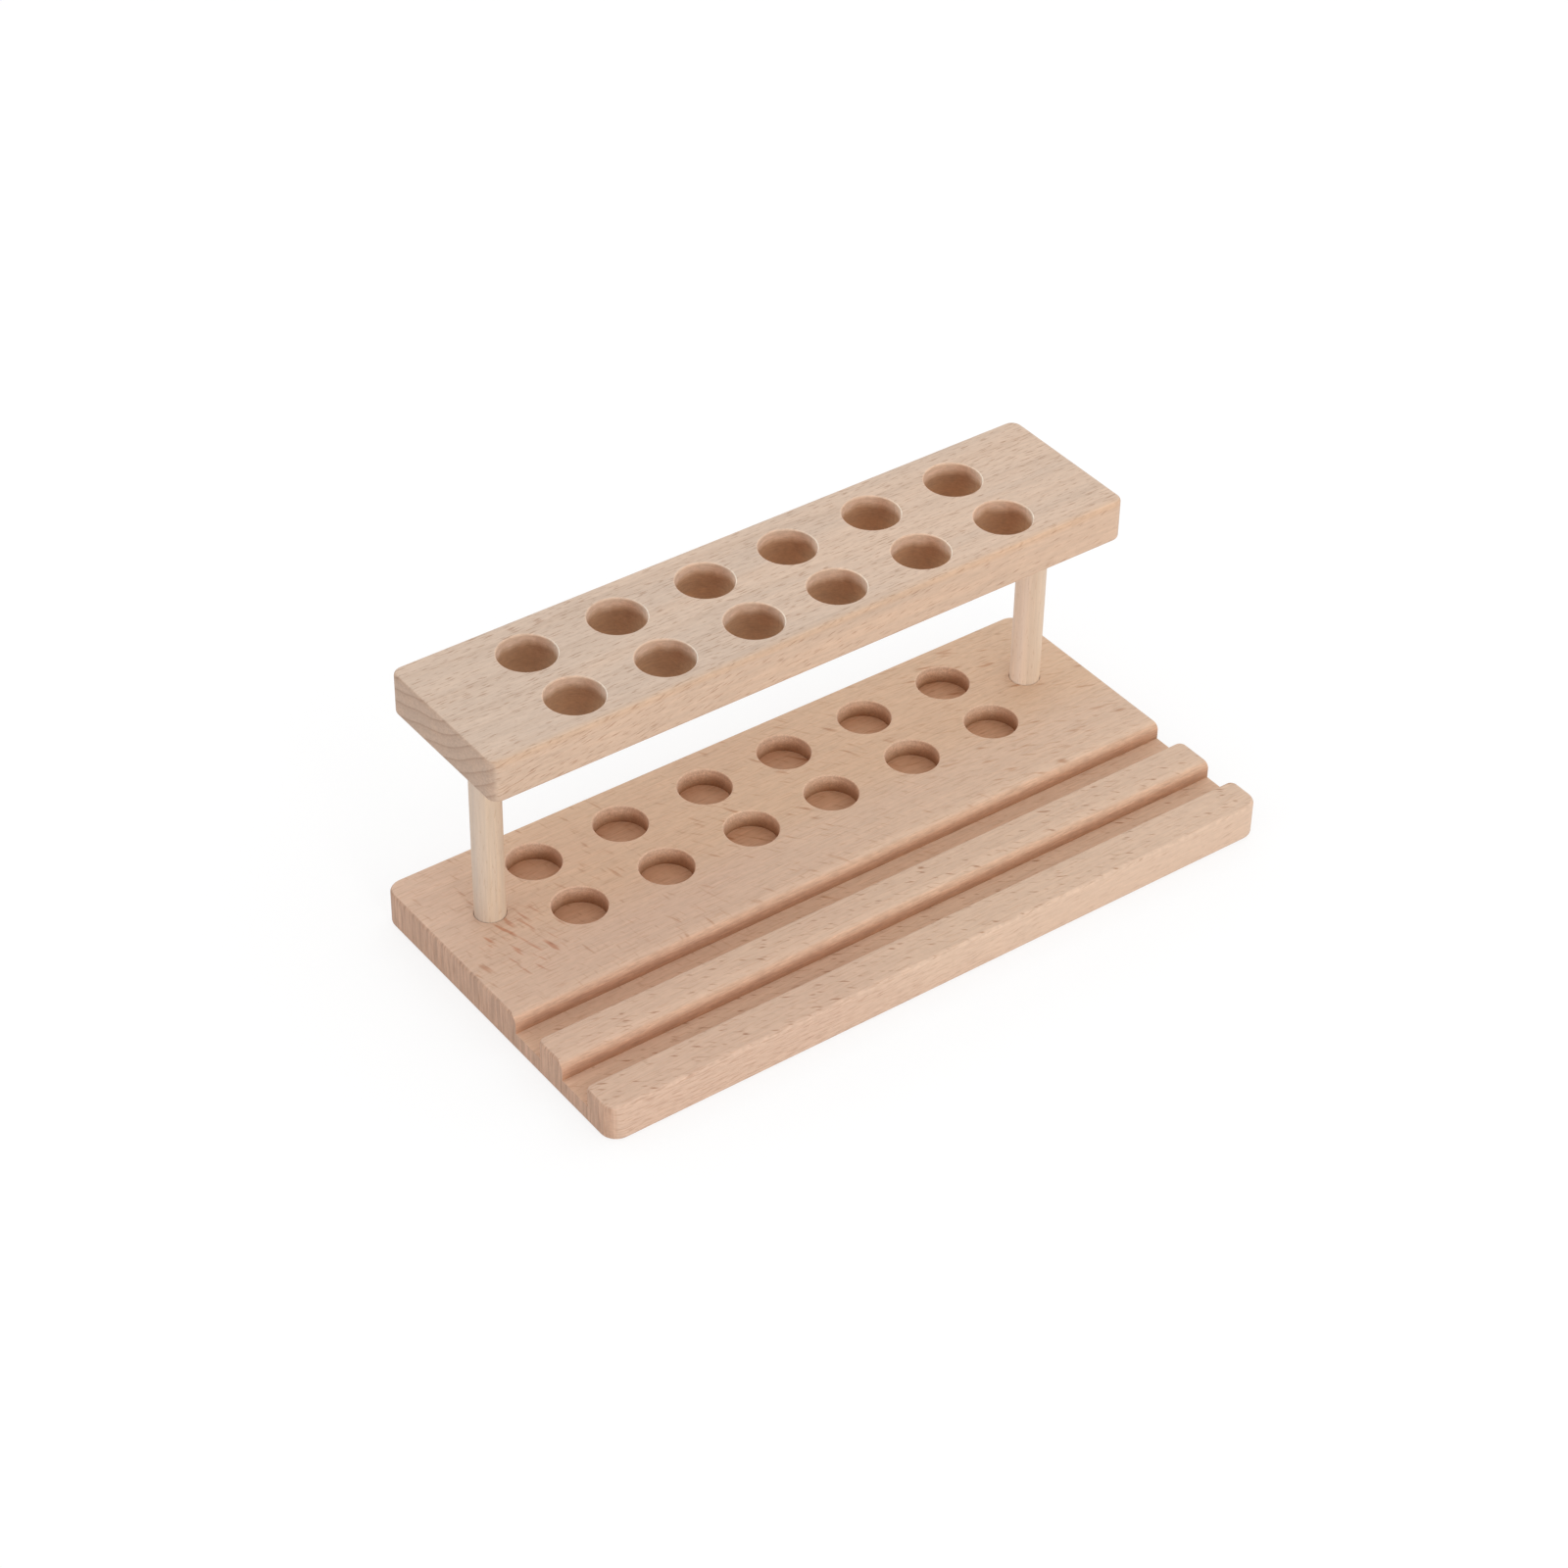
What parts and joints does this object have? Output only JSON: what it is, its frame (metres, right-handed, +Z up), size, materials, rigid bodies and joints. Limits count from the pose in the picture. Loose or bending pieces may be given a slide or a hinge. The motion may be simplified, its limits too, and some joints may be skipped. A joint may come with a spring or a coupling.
{
  "type": "tool storage caddy",
  "caption": "Wooden desktop tool stand: a grooved base board carries a drilled shelf on two dowel posts, with a pocket under each tool hole.",
  "frame": {"origin": "centre of the base board's underside, on the surface that the rack stands on", "axes": "+X along the length, +Y from the grooved front towards the back, +Z up"},
  "size_m": [0.2, 0.1, 0.075],
  "materials": {
    "base_wood": "sanded bare beech, matt",
    "shelf_wood": "sanded bare beech, matt",
    "post_wood": "sanded bare birch dowel, matt"
  },
  "bodies": {
    "base": {"base_board": "base_wood"},
    "left_post": {"left_post": "post_wood"},
    "right_post": {"right_post": "post_wood"},
    "shelf": {"shelf_board": "shelf_wood"}
  },
  "joints": [
    {"name": "left_post_lift", "type": "slide", "parent": "base", "child": "left_post", "axis": [0, 0, 1], "range_m": [0, 0.015]},
    {"name": "right_post_lift", "type": "slide", "parent": "base", "child": "right_post", "axis": [0, 0, 1], "range_m": [0, 0.015]},
    {"name": "shelf_lift", "type": "slide", "parent": "left_post", "child": "shelf", "axis": [0, 0, 1], "range_m": [0, 0.015]}
  ],
  "couplings": [
    {"joint": "right_post_lift", "follows": "left_post_lift", "ratio": 1}
  ]
}
